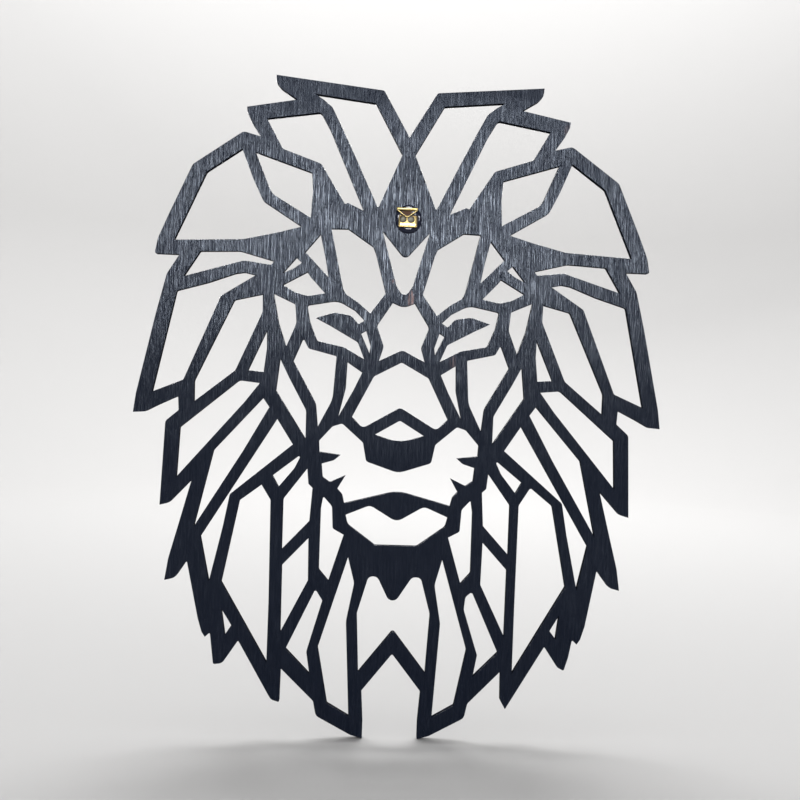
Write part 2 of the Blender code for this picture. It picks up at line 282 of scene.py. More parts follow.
def sum_of(tree, how, first, second):
    """Two numbers, each a socket or a plain number, put together by one operation."""
    node = tree.nodes.new("ShaderNodeMath")
    node.operation = how
    for socket, value in zip(node.inputs, (first, second)):
        if isinstance(value, bpy.types.NodeSocket):
            tree.links.new(value, socket)
        else:
            socket.default_value = value
    return node.outputs[0]


def grain_layer(tree, place, across, along, detail):
    """Noise drawn out along the height: cells 1/across wide and 1/along long, in metres."""
    mapping = tree.nodes.new("ShaderNodeMapping")
    mapping.inputs["Scale"].default_value = (across, across, along)
    tree.links.new(place, mapping.inputs["Vector"])
    noise = add_node(tree, "ShaderNodeTexNoise", Scale=1.0, Detail=detail, Roughness=0.55)
    tree.links.new(mapping.outputs["Vector"], noise.inputs["Vector"])
    return noise.outputs["Fac"]


def patch(tree, place, spot, reach):
    """1 at a spot on the sheet, falling smoothly to 0 at its reach in x, y and z."""
    shift = tree.nodes.new("ShaderNodeMapping")
    shift.inputs["Location"].default_value = tuple(-s / r for s, r in zip(spot, reach))
    shift.inputs["Scale"].default_value = tuple(1.0 / r for r in reach)
    tree.links.new(place, shift.inputs["Vector"])
    length = tree.nodes.new("ShaderNodeVectorMath")
    length.operation = "LENGTH"
    tree.links.new(shift.outputs["Vector"], length.inputs[0])
    return ramp_between(tree, length.outputs["Value"], 1.0, SPOT_CORE)


def stained_face():
    """Upright grain under a satin coat: long strands, fibres, open pores, and spots where the stain is worn.

    The gloss is the fibres' mask, held down over closed pores and between
    strands; over the lower half and at the horns it is drawn towards a low
    even level, which is painted shade on the reflection.
    """
    mat = bpy.data.materials.new("stained_wood_face")
    mat.use_nodes = True
    tree = mat.node_tree
    shader = tree.nodes["Principled BSDF"]
    place = tree.nodes.new("ShaderNodeTexCoord").outputs["Object"]
    fibres = grain_layer(tree, place, *FIBRES)
    strand_mask = ramp_between(tree, grain_layer(tree, place, *STRANDS), *STRAND_RANGE)
    fibre_mask = ramp_between(tree, fibres, *FIBRE_RANGE)
    pore_mask = ramp_between(tree, grain_layer(tree, place, *PORES), *PORE_RANGE)

    tone = blend_colour(tree, fibre_mask, STAIN_DEEP, STAIN_THIN)
    tone = blend_colour(tree, sum_of(tree, "MULTIPLY", strand_mask, STRAND_TINT), tone, STAIN_THIN)
    tone = blend_colour(tree, pore_mask, STAIN_DEEP, tone)
    worn = 0.0
    for x, z, reach_x, reach_z, strength in WORN_SPOTS:
        spot = patch(tree, place, (x, WORN_FACE_Y, z), (reach_x, WORN_DEPTH, reach_z))
        worn = sum_of(tree, "MAXIMUM", worn, sum_of(tree, "MULTIPLY", spot, strength))
    worn = sum_of(tree, "MULTIPLY", worn, ramp_between(tree, fibres, *WORN_RANGE))
    tone = blend_colour(tree, worn, tone, STAIN_WORN)
    tree.links.new(tone, shader.inputs["Base Color"])

    gloss = fibre_mask
    for mask, share in ((pore_mask, PORE_GLOSS), (strand_mask, STRAND_GLOSS)):
        held = sum_of(tree, "ADD", 1.0 - share, sum_of(tree, "MULTIPLY", mask, share))
        gloss = sum_of(tree, "MULTIPLY", gloss, held)
    parts = tree.nodes.new("ShaderNodeSeparateXYZ")
    tree.links.new(place, parts.inputs["Vector"])
    bare = 1.0
    # Painted shade: in each band by height the gloss is drawn towards a low level, which dims the
    # reflection, and the grain's relief is flattened.
    for start, full, share, level in SHADED_GLOSS_BANDS:
        shaded_share = sum_of(tree, "MULTIPLY", ramp_between(tree, parts.outputs["Z"], start, full), share)
        kept = sum_of(tree, "SUBTRACT", 1.0, shaded_share)
        gloss = sum_of(tree, "MULTIPLY", gloss, kept)
        gloss = sum_of(tree, "ADD", gloss, sum_of(tree, "MULTIPLY", shaded_share, level))
        bare = sum_of(tree, "MULTIPLY", bare, kept)
    tree.links.new(blend_colour(tree, gloss, COAT_DULL, COAT_BRIGHT), shader.inputs["Specular Tint"])
    rough = sum_of(tree, "SUBTRACT", COAT_ROUGH, sum_of(tree, "MULTIPLY", gloss, COAT_SMOOTHING))
    tree.links.new(rough, shader.inputs["Roughness"])
    shader.inputs["Specular IOR Level"].default_value = COAT_LEVEL

    warp = tree.nodes.new("ShaderNodeMapping")
    warp.inputs["Scale"].default_value = WARP_CELLS
    tree.links.new(place, warp.inputs["Vector"])
    swell = add_node(tree, "ShaderNodeTexNoise", Scale=1.0, Detail=1.0, Roughness=0.4)
    tree.links.new(warp.outputs["Vector"], swell.inputs["Vector"])
    soft = add_node(tree, "ShaderNodeBump", Strength=1.0, Distance=WARP_DEPTH)
    tree.links.new(swell.outputs["Fac"], soft.inputs["Height"])
    relief = sum_of(tree, "ADD", fibre_mask, sum_of(tree, "MULTIPLY", pore_mask, PORE_DEPTH))
    relief = sum_of(tree, "MULTIPLY", relief, bare)
    fine = add_node(tree, "ShaderNodeBump", Strength=1.0, Distance=GRAIN_DEPTH)
    tree.links.new(relief, fine.inputs["Height"])
    tree.links.new(soft.outputs["Normal"], fine.inputs["Normal"])
    tree.links.new(fine.outputs["Normal"], shader.inputs["Normal"])
    return mat


def charred_cut():
    """Cut wall: near black and quite dull, with fine ripples that run straight through the sheet."""
    mat = bpy.data.materials.new("charred_cut")
    mat.use_nodes = True
    tree = mat.node_tree
    shader = tree.nodes["Principled BSDF"]
    place = tree.nodes.new("ShaderNodeTexCoord").outputs["Object"]
    mapping = tree.nodes.new("ShaderNodeMapping")
    mapping.inputs["Scale"].default_value = RIPPLE_CELLS
    tree.links.new(place, mapping.inputs["Vector"])
    ripple = add_node(tree, "ShaderNodeTexNoise", Scale=1.0, Detail=1.0, Roughness=0.5)
    tree.links.new(mapping.outputs["Vector"], ripple.inputs["Vector"])
    tone = blend_colour(tree, ramp_between(tree, ripple.outputs["Fac"], *RIPPLE_RANGE), CHAR, STAIN_DEEP)
    tree.links.new(tone, shader.inputs["Base Color"])
    shader.inputs["Roughness"].default_value = CHAR_ROUGH
    shader.inputs["Specular IOR Level"].default_value = 0.0
    bump = add_node(tree, "ShaderNodeBump", Strength=RIPPLE_STRENGTH, Distance=RIPPLE_DEPTH)
    tree.links.new(ripple.outputs["Fac"], bump.inputs["Height"])
    tree.links.new(bump.outputs["Normal"], shader.inputs["Normal"])
    return mat


panel_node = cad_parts["lion_panel"]
panel_node.data.calc_loop_triangles()
sheet = bpy.data.objects.new("cut_sheet", dressed_sheet(panel_node.data))
bpy.context.scene.collection.objects.link(sheet)
sheet.data.materials.append(stained_face())
sheet.data.materials.append(charred_cut())
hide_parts("lion_panel")
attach(sheet, "root")

# Glue bed.  A round squeeze of dark glue that set hard and glossy, pushed up
# into a soft swelling at each side of the hanger's plate where the plate
# sank into it, and up through the plate's two punched holes.
BED_MIDDLE = (1.3 * MM, -6.1 * MM)
BED_REACH = (10.3 * MM, 11.1 * MM)
BED_FOOT_Y = 3.42 * MM
BED_HIGH = 2.42 * MM
BED_TURNS = 160
BED_STEPS = 64
BED_CROWD = 0.8
BED_FLATNESS = 5
BED_SHOULDER = 0.6
# Waver of the edge: its mean, then reach, count and phase of each of two waves.
BED_MEAN = 0.988
BED_WAVES = ((0.008, 3.0, 2.6), (0.007, 5.0, 0.4))
# Bulges: height, width, mean ring, and how far the ring moves out at the top and to the right.
BULGE_HIGH = 0.45 * MM
BULGE_WIDE = 0.07
BULGE_RING = 0.825
BULGE_UP = 0.065
BULGE_RIGHT = 0.005
PLUG_MIDDLE = (3.05 * MM, -6.7 * MM)
PLUG_REACH = 2.3 * MM
PLUG_HIGH = 0.5 * MM
GLUE_TONE = (0.0025, 0.0040, 0.0130)
GLUE_BRASS_REFLECTION = (0.0380, 0.0210, 0.0140)
# Painted highlight: the glue in the two punched holes is made lighter.
GLUE_HOLE_HIGHLIGHT = (0.0950, 0.0880, 0.0620)
GLUE_DUSTY = (0.0100, 0.0130, 0.0200)
GLUE_CLEAR = (1.0, 1.0, 1.0)
GLUE_SHADED = (0.20, 0.12, 0.08)
GLUE_LEVEL = 0.35
GLUE_ROUGH = 0.08
GLUE_DUST_ROUGH = 0.10
GLUE_DULL_ROUGH = 0.30
DUST_CELLS = 1500.0
DUST_RANGE = (0.62, 0.78)
RUN_CELLS = 260.0
RUN_DEPTH = 0.3 * MM
RUN_STRENGTH = 0.5
# Painted reflection and painted shade in the hanger's mouth: the glue there is tinted brown for the brass it
# mirrors, and its reflection is shaded.
MOUTH_SPOT = (0.0, 1.0 * MM, -1.2 * MM)
MOUTH_REACH = (6.2 * MM, 4.0 * MM, 3.6 * MM)
HOLE_HIGHLIGHT_Y = 0.8 * MM
HOLE_HIGHLIGHT_REACH = (3.1 * MM, 1.2 * MM, 3.1 * MM)


def glue_bed():
    """A disc in polar steps, r running from 0 in its middle to 1 at its edge.

    The edge wavers by two slow sine terms.  The dome's height is its full
    height times (1 - r to the power of its flatness) to the power of its
    shoulder.  A bell-shaped bulge is added outside the middle of each side
    of the plate, where the fourth power of cos(2 angle) is near 1, and dies
    out at the very edge.  A round plug is added in each punched hole.
    """
    turns, steps = BED_TURNS, BED_STEPS
    angle = np.linspace(0.0, 2.0 * np.pi, turns, endpoint=False)[None, :]
    out = (np.arange(1, steps + 1) / steps)[:, None] ** BED_CROWD
    waver = BED_MEAN + sum(reach * np.sin(count * angle + phase) for reach, count, phase in BED_WAVES)
    x = BED_MIDDLE[0] + BED_REACH[0] * out * waver * np.cos(angle)
    z = BED_MIDDLE[1] + BED_REACH[1] * out * waver * np.sin(angle)
    high = BED_HIGH * np.clip(1.0 - out ** BED_FLATNESS, 0.0, 1.0) ** BED_SHOULDER
    ring = BULGE_RING + BULGE_UP * np.sin(angle) + BULGE_RIGHT * np.cos(angle)
    bell = np.exp(-((out - ring) / BULGE_WIDE) ** 2) * (1.0 - out ** 20)
    high = high + BULGE_HIGH * np.cos(2.0 * angle) ** 4 * bell
    for side in (-1.0, 1.0):
        far = np.hypot(x - side * PLUG_MIDDLE[0], z - PLUG_MIDDLE[1]) / PLUG_REACH
        high = high + PLUG_HIGH * np.clip(1.0 - far ** 2, 0.0, 1.0) ** 1.5
    y = BED_FOOT_Y - high
    shell = np.stack([x, y, z], axis=-1).reshape(-1, 3)
    middle = np.array([[BED_MIDDLE[0], BED_FOOT_Y - BED_HIGH, BED_MIDDLE[1]],
                       [BED_MIDDLE[0], BED_FOOT_Y, BED_MIDDLE[1]]])
    verts = np.concatenate([shell, middle])
    k = np.arange(turns)
    nxt = (k + 1) % turns
    base = (np.arange(steps - 1) * turns)[:, None]
    quads = np.stack([base + k, base + turns + k, base + turns + nxt, base + nxt], axis=-1).reshape(-1, 4)
    near = np.column_stack([np.full(turns, len(shell)), k, nxt])
    last = (steps - 1) * turns
    far = np.column_stack([np.full(turns, len(shell) + 1), last + nxt, last + k])
    mesh = bpy.data.meshes.new("glue_bed")
    mesh.from_pydata(verts, [], quads.tolist() + near.tolist() + far.tolist())
    mesh.polygons.foreach_set("use_smooth", np.ones(len(mesh.polygons), dtype=bool))
    mesh.update()
    return mesh


def set_glue():
    """Hard glossy glue, near black with a blue cast and slow ripples.

    It is duller in the hanger's mouth, where a painted brown reflection of the
    brass and painted shade on its reflection lie, and lighter and duller in the
    two punched holes, which is a painted highlight.
    """
    mat = bpy.data.materials.new("set_glue")
    mat.use_nodes = True
    tree = mat.node_tree
    shader = tree.nodes["Principled BSDF"]
    place = tree.nodes.new("ShaderNodeTexCoord").outputs["Object"]
    dust = add_node(tree, "ShaderNodeTexNoise", Scale=DUST_CELLS, Detail=2.0, Roughness=0.6)
    tree.links.new(place, dust.inputs["Vector"])
    tone = blend_colour(tree, ramp_between(tree, dust.outputs["Fac"], *DUST_RANGE), GLUE_TONE, GLUE_DUSTY)
    # Painted reflection of the brass: the glue in the mouth is tinted brown, and its reflection is shaded
    # below.
    mouth = patch(tree, place, MOUTH_SPOT, MOUTH_REACH)
    tone = blend_colour(tree, mouth, tone, GLUE_BRASS_REFLECTION)
    # Painted highlight: lighter, duller glue in the two punched holes.
    hole_highlight = 0.0
    for side in (-1.0, 1.0):
        spot = patch(tree, place, (side * PLUG_MIDDLE[0], HOLE_HIGHLIGHT_Y, PLUG_MIDDLE[1]), HOLE_HIGHLIGHT_REACH)
        hole_highlight = sum_of(tree, "MAXIMUM", hole_highlight, spot)
    tone = blend_colour(tree, hole_highlight, tone, GLUE_HOLE_HIGHLIGHT)
    tree.links.new(tone, shader.inputs["Base Color"])
    rough = sum_of(tree, "ADD", GLUE_ROUGH, sum_of(tree, "MULTIPLY", dust.outputs["Fac"], GLUE_DUST_ROUGH))
    dull = sum_of(tree, "MULTIPLY", sum_of(tree, "MAXIMUM", hole_highlight, mouth), GLUE_DULL_ROUGH)
    tree.links.new(sum_of(tree, "ADD", rough, dull), shader.inputs["Roughness"])
    tree.links.new(blend_colour(tree, mouth, GLUE_CLEAR, GLUE_SHADED), shader.inputs["Specular Tint"])
    shader.inputs["Specular IOR Level"].default_value = GLUE_LEVEL
    ripple = add_node(tree, "ShaderNodeTexNoise", Scale=RUN_CELLS, Detail=1.0, Roughness=0.4)
    tree.links.new(place, ripple.inputs["Vector"])
    bump = add_node(tree, "ShaderNodeBump", Strength=RUN_STRENGTH, Distance=RUN_DEPTH)
    tree.links.new(ripple.outputs["Fac"], bump.inputs["Height"])
    tree.links.new(bump.outputs["Normal"], shader.inputs["Normal"])
    return mat


bed = bpy.data.objects.new("glue_bed", glue_bed())
bpy.context.scene.collection.objects.link(bed)
bed.data.materials.append(set_glue())
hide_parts("glue_pad")
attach(bed, "root")

# Hanger.  A small stamping of thin brass plate: a rolled bar on two slanted
# arms, over a plate with two punched holes, turned sides and a folded lip,
# pressed into the glue.
BRASS_TONE = (0.92, 0.75, 0.34)
BRASS_FILM = (0.74, 0.54, 0.21)
# Painted shade and painted shadow: a dark brown laid over the brass where the ring shades the plate, along
# the ring's edges, in the side folds and around the holes.
BRASS_SHADE_TONE = (0.16, 0.085, 0.035)
BRASS_SHADE_SHARE = 0.85
FILM_CELLS = 420.0
FILM_RANGE = (0.42, 0.72)
ROLLING_CELLS = (300.0, 2500.0, 6000.0)
ROLLING_DEPTH = 0.03 * MM
ROLLING_STRENGTH = 0.3
BRASS_ROUGH = 0.12
ROLLING_ROUGH = 0.16

# Sizes of the stamping in millimetres; only its finished points are turned into metres.
BAR_HALF = 8.1
BAR_TOP = 2.05
BAR_LOW = 0.0
BAR_RISE_Z = -0.5
BAR_RISE = 0.7
ARM_HALF_WIDE = 0.42
ARM_SINK = 0.14
ARM_LEAVE = -0.05
APEX_Z = -5.60
APEX_HALF = 0.40
MOUTH_HALF = 6.50
MOUTH_LOW = -4.80
PLATE_LEFT = -6.2
PLATE_RIGHT = 7.6
PLATE_TOP = -3.8
PLATE_LOW = -12.4
HOLE_OUT = 3.05
HOLE_Z = -6.7
HOLE_R = 2.45
RING_FRONT = -0.45
RING_EDGE = 0.20
RING_BACK = 0.45
TRAY_FLOOR = 0.40
TRAY_BACK = 0.80
LIP_FRONT = -0.06
RIM_FRONT = -0.10
RIM_TURN = 0.35
RIM_DROP = 0.45
RIM_FALL = 0.75
RIM_START = 0.6
LIP_TURN = 0.4
LIP_KEEP = 0.2
LIP_REACH = 3.2
HOLE_DIP = 0.16
HOLE_DIP_REACH = 0.4
STAMP_CELL = 0.17
STAMP_CLEAR = 0.4
TOUCHING = 1e-4
FAR_BACK = 9.0
ARC_STEPS = 6
HOLE_TURNS = 40
# Corner radii: down the left side of the ring and up the right, its mouth, and the plate.
RING_RADII = (0.3, 0.5, 0.3, 0.3, 0.5, 0.6)
MOUTH_RADII = (0.12, 0.25, 0.12)
PLATE_RADII = (0.5, 0.35, 0.35, 0.5)
# Painted shade: where the painted shadow of the ring starts and ends behind the arms and how dark it gets,
# and how far painted shade spreads from the ring's edges, the side folds and the holes.
RING_SHADOW_LOW_Z = -7.4
RING_SHADOW_RISE = 3.4
RING_SHADOW_MOST = 0.8
SHADE_AT_RING_EDGE = 0.16
SHADE_AT_HOLE = 0.35
SHADE_IN_FOLD = 0.22
SHARP_ANGLE = 42.0


def rounded_loop(corners, radii):
    """A closed ring of points with an arc at each corner.

    With a and b the unit directions to the corner's neighbours and p half the
    angle between them, the arc's middle lies radius / sin p from the corner
    along a + b, and the arc runs between the two points radius / tan p along a and b.
    """
    at = np.array(corners, dtype=float)
    radius = np.array(radii, dtype=float)[:, None]
    to_last = np.roll(at, 1, axis=0) - at
    to_next = np.roll(at, -1, axis=0) - at
    to_last /= np.linalg.norm(to_last, axis=1, keepdims=True)
    to_next /= np.linalg.norm(to_next, axis=1, keepdims=True)
    half = 0.5 * np.arccos(np.clip(np.sum(to_last * to_next, axis=1, keepdims=True), -1.0, 1.0))
    split = to_last + to_next
    split /= np.linalg.norm(split, axis=1, keepdims=True)
    middle = at + split * radius / np.sin(half)
    first = (at + to_last * radius / np.tan(half) - middle) / radius
    last = (at + to_next * radius / np.tan(half) - middle) / radius
    sweep = np.pi - 2.0 * half
    share = np.linspace(0.0, 1.0, ARC_STEPS)[None, :, None]
    turn = sweep[:, None]
    arm = np.sin((1.0 - share) * turn) * first[:, None] + np.sin(share * turn) * last[:, None]
    return (middle[:, None] + radius[:, None] * arm / np.sin(turn)).reshape(-1, 2)


def gap_to(points, loop):
    """Distance from each point to the nearest side of a closed loop."""
    start = loop[None, :, :]
    along = np.roll(loop, -1, axis=0)[None, :, :] - start
    off = points[:, None, :] - start
    share = np.clip(np.sum(off * along, axis=2) / np.sum(along * along, axis=2), 0.0, 1.0)
    return np.linalg.norm(off - share[:, :, None] * along, axis=2).min(axis=1)


def within(points, loop):
    """True where a ray to +x crosses the loop's sides an odd number of times."""
    x, z = points[:, 0][:, None], points[:, 1][:, None]
    x0, z0 = loop[:, 0][None, :], loop[:, 1][None, :]
    x1, z1 = np.roll(loop[:, 0], -1)[None, :], np.roll(loop[:, 1], -1)[None, :]
    spans = (z0 > z) != (z1 > z)
    rise = np.where(np.abs(z1 - z0) < 1e-12, 1e-12, z1 - z0)
    return (np.sum(spans & (x < x0 + (z - z0) * (x1 - x0) / rise), axis=1) % 2).astype(bool)


def smooth_step(value):
    """3 t^2 - 2 t^3 of the value held between 0 and 1."""
    t = np.clip(value, 0.0, 1.0)
    return t * t * (3.0 - 2.0 * t)


def stamped_hanger():
    """One stamping, worked out in millimetres over the plane of the plate.

    The ring of bar and arms is a half ellipse across its width: its depth
    goes from its edge to its crest as the root of 1 - (1 - gap / half width)
    squared.  The plate is a shallow tray: a flat floor, a rim at each side that
    rises and falls over 1 mm, and along its foot a lip that climbs as a square
    and turns over sharply.  The floor dips a little at the rim of each hole.
    """
    outer = rounded_loop([(-BAR_HALF, BAR_TOP), (-BAR_HALF, ARM_LEAVE), (-APEX_HALF, APEX_Z),
                          (APEX_HALF, APEX_Z), (BAR_HALF, ARM_LEAVE), (BAR_HALF, BAR_TOP)], RING_RADII)
    mouth = rounded_loop([(-MOUTH_HALF, BAR_LOW), (0.0, MOUTH_LOW), (MOUTH_HALF, BAR_LOW)], MOUTH_RADII)
    tray = rounded_loop([(PLATE_LEFT, PLATE_TOP), (PLATE_LEFT, PLATE_LOW), (PLATE_RIGHT, PLATE_LOW),
                         (PLATE_RIGHT, PLATE_TOP)], PLATE_RADII)
    spin = np.linspace(0.0, 2.0 * np.pi, HOLE_TURNS, endpoint=False)
    holes = [np.stack([side * HOLE_OUT + HOLE_R * np.cos(spin), HOLE_Z + HOLE_R * np.sin(spin)], axis=1)
             for side in (-1.0, 1.0)]
    loops = [outer, mouth, tray] + holes

    def solid(points):
        """Which points lie in the ring of bar and arms, and which in the plate between its holes."""
        ring = within(points, outer) & ~within(points, mouth)
        plate = within(points, tray) & ~within(points, holes[0]) & ~within(points, holes[1])
        return ring, plate

    x = np.arange(-BAR_HALF, BAR_HALF, STAMP_CELL)
    z = np.arange(PLATE_LOW, BAR_TOP, STAMP_CELL)
    cells = np.stack(np.meshgrid(x, z), axis=-1).reshape(-1, 2)
    ring, plate = solid(cells)
    clear = np.min([gap_to(cells, loop) for loop in loops], axis=0) > STAMP_CLEAR * STAMP_CELL
    cells = cells[(ring | plate) & clear]
    starts = np.cumsum([0] + [len(loop) for loop in loops])
    sides = []
    for loop, start in zip(loops, starts):
        k = np.arange(len(loop))
        sides.append(np.stack([k, (k + 1) % len(loop)], axis=1) + start)
    sides = np.concatenate(sides)
    flat = np.concatenate(loops + [cells])
    cut = delaunay_2d_cdt([Vector(p) for p in flat.tolist()], sides.tolist(), [], 0, 1e-6)
    flat = np.array([tuple(p) for p in cut[0]])
    tris = np.array(cut[2])
    ring, plate = solid(flat[tris].mean(axis=1))
    tris = tris[ring | plate]

    ring, plate = within(flat, outer) & ~within(flat, mouth), within(flat, tray)
    edge = np.minimum(gap_to(flat, outer), gap_to(flat, mouth))
    ring |= edge < TOUCHING
    plate |= gap_to(flat, tray) < TOUCHING
    bar = smooth_step((flat[:, 1] - BAR_RISE_Z) / BAR_RISE)
    half_width = ARM_HALF_WIDE + (0.5 * (BAR_TOP - BAR_LOW) - ARM_HALF_WIDE) * bar
    swell = np.sqrt(np.clip(1.0 - (1.0 - np.clip(edge / half_width, 0.0, 1.0)) ** 2, 0.0, 1.0))
    crest = RING_FRONT + ARM_SINK * (1.0 - bar)
    ring_y = np.where(ring, RING_EDGE + (crest - RING_EDGE) * swell, FAR_BACK)

    side_gap = np.minimum(flat[:, 0] - PLATE_LEFT, PLATE_RIGHT - flat[:, 0])
    rim = np.where(side_gap < RIM_TURN, 1.0 - RIM_DROP + RIM_DROP * smooth_step(side_gap / RIM_TURN),
                   1.0 - smooth_step((side_gap - RIM_TURN) / RIM_FALL))
    rim *= smooth_step((PLATE_TOP - flat[:, 1]) / RIM_START)
    foot_gap = flat[:, 1] - PLATE_LOW
    turned = LIP_KEEP + (1.0 - LIP_KEEP) * np.sqrt(np.clip(foot_gap / LIP_TURN, 0.0, 1.0))
    climb = np.clip((LIP_REACH - foot_gap) / (LIP_REACH - LIP_TURN), 0.0, 1.0) ** 2
    lip = np.where(foot_gap < LIP_TURN, turned, climb)
    near_hole = np.min([gap_to(flat, hole) for hole in holes], axis=0)
    dip = HOLE_DIP * np.clip(1.0 - near_hole / HOLE_DIP_REACH, 0.0, 1.0) ** 2
    tray_y = np.minimum(TRAY_FLOOR + (RIM_FRONT - TRAY_FLOOR) * rim,
                        TRAY_FLOOR + (LIP_FRONT - TRAY_FLOOR) * lip) + dip
    tray_y = np.where(plate, tray_y, FAR_BACK)
    front = np.minimum(ring_y, tray_y)
    back = np.where(plate, TRAY_BACK, RING_BACK)

    count = len(flat)
    verts = np.concatenate([np.stack([flat[:, 0], front, flat[:, 1]], axis=1),
                            np.stack([flat[:, 0], back, flat[:, 1]], axis=1)]) * MM
    pairs = np.concatenate([tris[:, [0, 1]], tris[:, [1, 2]], tris[:, [2, 0]]])
    code = pairs[:, 0].astype(np.int64) * count + pairs[:, 1]
    twin = pairs[:, 1].astype(np.int64) * count + pairs[:, 0]
    first, second = pairs[~np.isin(code, twin)].T
    wall = np.column_stack([second, first, first + count, second + count])
    every = np.concatenate([tris.ravel(), (tris[:, ::-1] + count).ravel(), wall.ravel()])
    used, number = np.unique(every, return_inverse=True)
    split = len(tris) * 3
    rows = number[:split].reshape(-1, 3).tolist() + number[split:2 * split].reshape(-1, 3).tolist()
    rows += number[2 * split:].reshape(-1, 4).tolist()
    mesh = bpy.data.meshes.new("stamped_hanger")
    mesh.from_pydata(verts[used], [], rows)
    # Painted shadow of the ring across the top of the plate, and painted shade in the side folds, along the
    # ring's edges and around the holes, kept as a point layer.
    shade_mask = RING_SHADOW_MOST * smooth_step((flat[:, 1] - RING_SHADOW_LOW_Z) / RING_SHADOW_RISE)
    shade_mask = np.maximum(shade_mask, np.exp(-((side_gap - 1.0) / SHADE_IN_FOLD) ** 2))
    shade_mask = np.where(plate & ~ring, shade_mask, 0.0)
    shade_mask = np.maximum(shade_mask, np.exp(-(edge / SHADE_AT_RING_EDGE) ** 2))
    shade_mask = np.maximum(shade_mask, np.exp(-(near_hole / SHADE_AT_HOLE) ** 2))
    film = mesh.attributes.new("painted_shade", "FLOAT", "POINT")
    film.data.foreach_set("value", np.concatenate([shade_mask, np.ones(count)])[used].astype(np.float32))
    mesh.polygons.foreach_set("use_smooth", np.ones(len(mesh.polygons), dtype=bool))
    mesh.set_sharp_from_angle(angle=math.radians(SHARP_ANGLE))
    mesh.update()
    return mesh


def stamped_brass():
    """Bright yellow brass with faint rolling lines along x.

    A duller film lies on it in places, and painted shade and a painted
    shadow of the ring darken it where the point layer says.
    """
    mat = bpy.data.materials.new("stamped_brass")
    mat.use_nodes = True
    tree = mat.node_tree
    shader = tree.nodes["Principled BSDF"]
    place = tree.nodes.new("ShaderNodeTexCoord").outputs["Object"]
    mapping = tree.nodes.new("ShaderNodeMapping")
    mapping.inputs["Scale"].default_value = ROLLING_CELLS
    tree.links.new(place, mapping.inputs["Vector"])
    lines = add_node(tree, "ShaderNodeTexNoise", Scale=1.0, Detail=2.0, Roughness=0.5)
    tree.links.new(mapping.outputs["Vector"], lines.inputs["Vector"])
    film = add_node(tree, "ShaderNodeTexNoise", Scale=FILM_CELLS, Detail=2.0, Roughness=0.55)
    tree.links.new(place, film.inputs["Vector"])
    tone = blend_colour(tree, ramp_between(tree, film.outputs["Fac"], *FILM_RANGE), BRASS_TONE, BRASS_FILM)
    # Painted shade and shadow, read from the point layer.
    shade_layer = tree.nodes.new("ShaderNodeAttribute")
    shade_layer.attribute_name = "painted_shade"
    painted_shade = sum_of(tree, "MULTIPLY", shade_layer.outputs["Fac"], BRASS_SHADE_SHARE)
    tone = blend_colour(tree, painted_shade, tone, BRASS_SHADE_TONE)
    tree.links.new(tone, shader.inputs["Base Color"])
    shader.inputs["Metallic"].default_value = 1.0
    rough = sum_of(tree, "ADD", BRASS_ROUGH, sum_of(tree, "MULTIPLY", lines.outputs["Fac"], ROLLING_ROUGH))
    tree.links.new(rough, shader.inputs["Roughness"])
    bump = add_node(tree, "ShaderNodeBump", Strength=ROLLING_STRENGTH, Distance=ROLLING_DEPTH)
    tree.links.new(lines.outputs["Fac"], bump.inputs["Height"])
    tree.links.new(bump.outputs["Normal"], shader.inputs["Normal"])
    return mat


hanger = bpy.data.objects.new("stamped_hanger", stamped_hanger())
bpy.context.scene.collection.objects.link(hanger)
hanger.data.materials.append(stamped_brass())
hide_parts("hanger")
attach(hanger, "root")

# Studio.  A pale floor that turns up all round into a pale wall, soft daylight, and broad soft lamps.  Card
# masks keep most of the lamps to one piece each: the sheet, the brass and the glue mirror different parts of
# a room, and one lamp for all would burn out the brass or leave the sheet dull.
FLOOR_Z = -0.4016
ROOM_REACH = 2.6
ROOM_COVE = 0.9
ROOM_HIGH = 3.2
ROOM_TURNS = 96
FLOOR_RINGS = 12
COVE_RINGS = 24
PALE = (0.585, 0.58, 0.575)
PAINT_ROUGH = 0.9
PAINT_SHINE = 0.1
DAYLIGHT = (0.95, 0.97, 1.0)
DAYLIGHT_STRENGTH = 0.36


def pale_room():
    """A turned shape: a flat disc, a cove and an upright wall.

    In the cove the radius grows with the sine of the bend and the height
    with one minus its cosine.
    """
    flat_r = np.linspace(0.0, ROOM_REACH - ROOM_COVE, FLOOR_RINGS)[1:]
    bend = np.linspace(0.0, 0.5 * np.pi, COVE_RINGS)[1:]
    radius = np.concatenate([flat_r, ROOM_REACH - ROOM_COVE + ROOM_COVE * np.sin(bend), [ROOM_REACH]])
    height = np.concatenate([np.zeros(len(flat_r)), ROOM_COVE * (1.0 - np.cos(bend)), [ROOM_HIGH]])
    angle = np.linspace(0.0, 2.0 * np.pi, ROOM_TURNS, endpoint=False)
    x = radius[:, None] * np.cos(angle)[None, :]
    y = radius[:, None] * np.sin(angle)[None, :]
    z = np.broadcast_to((FLOOR_Z + height)[:, None], x.shape)
    verts = np.concatenate([np.stack([x, y, z], axis=-1).reshape(-1, 3), [[0.0, 0.0, FLOOR_Z]]])
    k = np.arange(ROOM_TURNS)
    nxt = (k + 1) % ROOM_TURNS
    low = (np.arange(len(radius) - 1) * ROOM_TURNS)[:, None]
    high = low + ROOM_TURNS
    quads = np.stack([low + k, high + k, high + nxt, low + nxt], axis=-1).reshape(-1, 4)
    middle = np.column_stack([np.full(ROOM_TURNS, len(verts) - 1), k, nxt])
    mesh = bpy.data.meshes.new("pale_room")
    mesh.from_pydata(verts, [], quads.tolist() + middle.tolist())
    mesh.polygons.foreach_set("use_smooth", np.ones(len(mesh.polygons), dtype=bool))
    mesh.update()
    return mesh


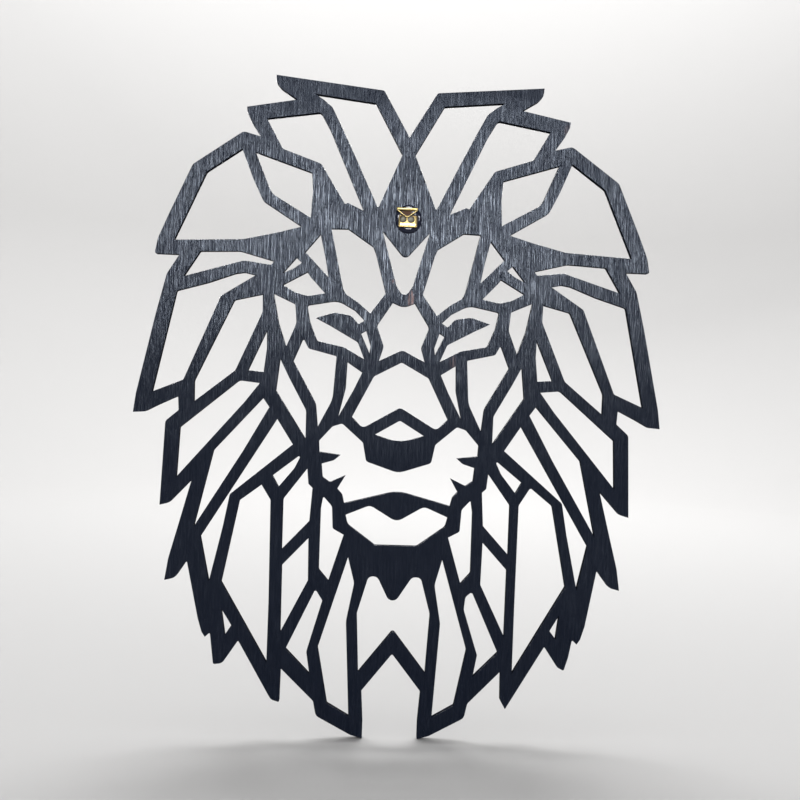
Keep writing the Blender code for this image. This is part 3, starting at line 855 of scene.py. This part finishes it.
room = bpy.data.objects.new("pale_room", pale_room())
bpy.context.scene.collection.objects.link(room)
room_paint = bpy.data.materials.new("pale_paint")
room_paint.use_nodes = True
paint_shader = room_paint.node_tree.nodes["Principled BSDF"]
paint_shader.inputs["Base Color"].default_value = (*PALE, 1.0)
paint_shader.inputs["Roughness"].default_value = PAINT_ROUGH
paint_shader.inputs["Specular IOR Level"].default_value = PAINT_SHINE
room.data.materials.append(room_paint)

world = bpy.data.worlds.new("soft_daylight")
world.use_nodes = True
world.node_tree.nodes["Background"].inputs["Color"].default_value = (*DAYLIGHT, 1.0)
world.node_tree.nodes["Background"].inputs["Strength"].default_value = DAYLIGHT_STRENGTH
bpy.context.scene.world = world


def soft_lamp(name, spot, target, wide, high, watts):
    """A flat white rectangular lamp at a spot, facing a target; the camera doesn't see it."""
    data = bpy.data.lights.new(name, "AREA")
    data.shape = "RECTANGLE"
    data.size = wide
    data.size_y = high
    data.energy = watts
    lamp = bpy.data.objects.new(name, data)
    bpy.context.scene.collection.objects.link(lamp)
    turn = (Vector(target) - Vector(spot)).to_track_quat("-Z", "Y").to_matrix().to_4x4()
    lamp.matrix_world = Matrix.Translation(Vector(spot)) @ turn
    lamp.visible_camera = False
    return lamp


def light_only(lamp, piece):
    """Keep a lamp's light to one piece, as a card with a hole in it does."""
    lamp.light_linking.receiver_collection = bpy.data.collections.new(lamp.name + "_reach")
    lamp.light_linking.receiver_collection.objects.link(piece)


# Every lamp: name, spot, target, width, height, watts, and the one piece it lights, or None for all.
# Those at y = -1.9 stand behind the viewer and make the mirrored glare; the two low ones lift the sides
# of the sheet's dark lower half.
LAMPS = (
    ("window_lamp", (0.06, -1.9, 0.41), (0.0, 0.0, -0.02), 0.82, 0.59, 89.0, sheet),
    ("bead_lamp", (0.12, -1.9, 0.92), (0.0, 0.0, -0.02), 0.7, 0.40, 48.0, bed),
    ("side_lamp", (-0.78, -1.9, 0.42), (0.0, 0.0, -0.02), 0.30, 0.5, 26.0, bed),
    ("brass_lamp", (0.10, -1.9, 1.10), (0.0, 0.0, -0.02), 1.4, 0.60, 17.0, hanger),
    ("plate_lamp", (0.10, -1.9, 0.45), (0.0, 0.0, -0.02), 1.2, 0.50, 1.9, hanger),
    ("low_left_lamp", (-0.26, -0.36, -0.34), (-0.15, 0.0, -0.30), 0.14, 0.10, 0.05, sheet),
    ("low_right_lamp", (0.29, -0.36, -0.34), (0.15, 0.0, -0.30), 0.14, 0.10, 0.06, sheet),
    ("wall_lamp", (0.0, 1.1, 2.6), (0.0, 2.6, 0.5), 3.0, 0.8, 73.0, None),
    ("sky_lamp", (0.0, 0.3, 2.4), (0.0, 0.3, -0.4), 2.0, 1.4, 21.0, None),
    ("far_lamp", (0.5, 1.7, 1.2), (0.0, 0.0, -0.1), 1.4, 1.0, 15.0, None),
    ("room_lamp", (-0.2, 2.2, 0.75), (0.0, 0.0, -0.02), 2.6, 0.9, 150.0, sheet),
)

for *lamp_facts, lit_piece in LAMPS:
    lamp = soft_lamp(*lamp_facts)
    if lit_piece is not None:
        light_only(lamp, lit_piece)

bpy.context.scene.view_settings.view_transform = "Standard"
